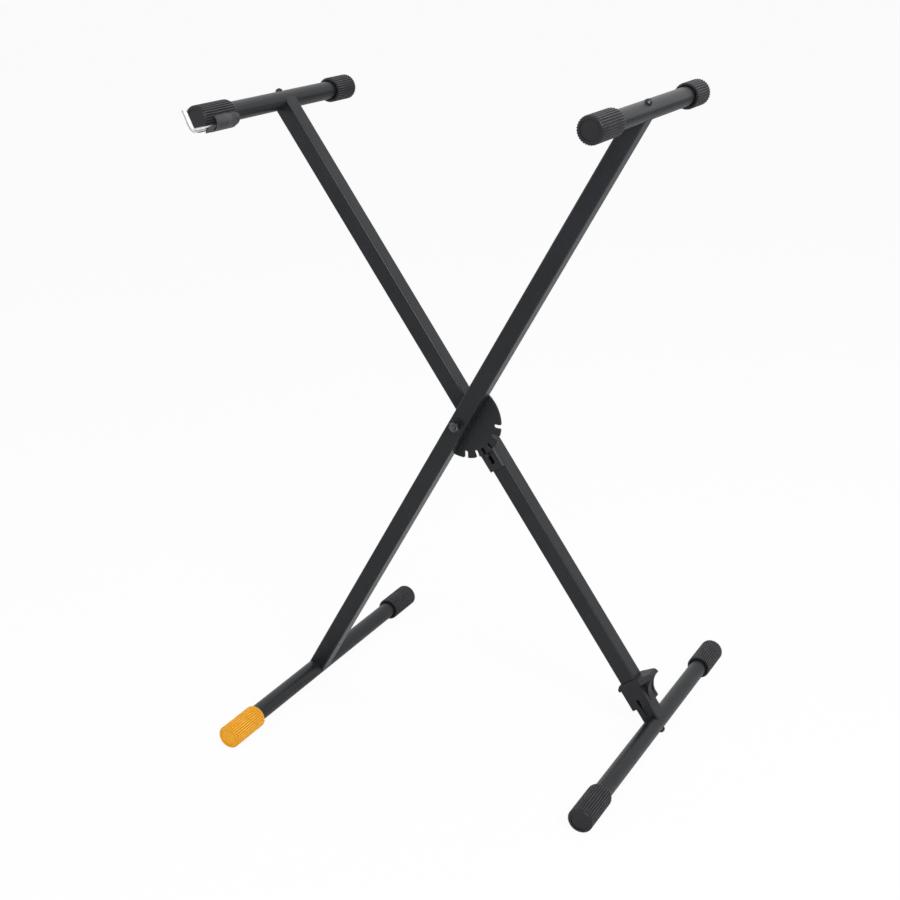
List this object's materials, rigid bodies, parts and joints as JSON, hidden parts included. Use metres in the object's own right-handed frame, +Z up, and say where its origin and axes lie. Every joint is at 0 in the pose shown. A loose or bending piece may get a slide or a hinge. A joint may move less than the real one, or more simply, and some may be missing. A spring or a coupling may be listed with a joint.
{
  "type": "folding keyboard stand",
  "caption": "Folding X-shaped keyboard stand: two crossed square tubes on a pivot with a notched disc and latch, round bars across their ends and ribbed end caps.",
  "frame": {"origin": "on the floor under the middle of the stand, midway between the four foot caps", "axes": "+X to the right across the stand, +Y from the front to the back, +Z up"},
  "size_m": [0.5824, 0.5156, 0.8938],
  "materials": {
    "black_powder_coat": "satin black powder coat on steel tube and plate",
    "blackened_steel": "blackened steel fasteners",
    "black_plastic": "moulded black plastic",
    "black_nylon": "moulded black nylon",
    "yellow_plastic": "moulded amber yellow plastic",
    "zinc_steel": "bright zinc plated steel",
    "spring_steel": "drawn spring steel"
  },
  "bodies": {
    "front_frame": {"front_leg_tube": "black_powder_coat", "top_right_bar": "black_powder_coat", "foot_left_bar": "black_powder_coat", "front_leg_top_plug": "black_nylon", "front_leg_foot_plug": "black_nylon", "top_right_bar_bolt": "blackened_steel", "foot_left_bar_bolt": "blackened_steel", "top_right_front_cap": "black_plastic", "top_right_rear_cap": "black_plastic", "foot_left_rear_cap": "black_plastic", "levelling_snap_ring": "spring_steel", "pivot_bolt": "blackened_steel", "pivot_nut": "blackened_steel", "pivot_nut_washer": "blackened_steel", "pivot_head_washer": "blackened_steel", "pivot_spacer": "black_nylon", "notched_disc": "black_powder_coat", "disc_rivets": "blackened_steel"},
    "rear_frame": {"rear_leg_tube": "black_powder_coat", "top_left_bar": "black_powder_coat", "foot_right_bar": "black_powder_coat", "rear_leg_top_plug": "black_nylon", "rear_leg_foot_plug": "black_nylon", "top_left_bar_bolt": "blackened_steel", "foot_right_bar_bolt": "blackened_steel", "top_left_rear_cap": "black_plastic", "top_left_front_cap": "black_plastic", "foot_right_rear_cap": "black_plastic", "foot_right_front_cap": "black_plastic", "pivot_bush": "black_nylon", "latch_housing": "black_plastic", "latch_housing_rivets": "blackened_steel", "spring_seat": "black_nylon", "latch_spring": "spring_steel"},
    "latch": {"latch_slider": "black_nylon", "latch_pin": "blackened_steel", "pull_rod": "zinc_steel", "rod_end_block": "black_nylon", "trigger": "black_plastic", "trigger_pin": "blackened_steel"},
    "levelling_cap": {"levelling_cap": "yellow_plastic"},
    "stop_pin_guide": {"stop_pin_bush": "black_nylon"},
    "stop_pin": {"stop_pin": "zinc_steel"}
  },
  "joints": [
    {"name": "leg_fold", "type": "hinge", "parent": "front_frame", "child": "rear_frame", "pos_m": [0, 0, 0.44671], "axis": [0, 1, 0], "range_deg": [-53, 60.5]},
    {"name": "latch_slide", "type": "slide", "parent": "rear_frame", "child": "latch", "axis": [-0.5373, 0, 0.8434], "range_m": [0, 0.0105], "stiffness_N_per_m": 400, "springref_m": 0.02},
    {"name": "levelling_turn", "type": "hinge", "parent": "front_frame", "child": "levelling_cap", "pos_m": [-0.27375, -0.22, 0.017], "axis": [0, 1, 0], "continuous": true},
    {"name": "stop_pin_slide", "type": "slide", "parent": "rear_frame", "child": "stop_pin_guide", "axis": [0, 1, 0], "range_m": [-0.0145, 0.012]},
    {"name": "stop_pin_turn", "type": "hinge", "parent": "stop_pin_guide", "child": "stop_pin", "pos_m": [-0.25979, -0.15, 0.8657], "axis": [0, 1, 0], "continuous": true}
  ]
}
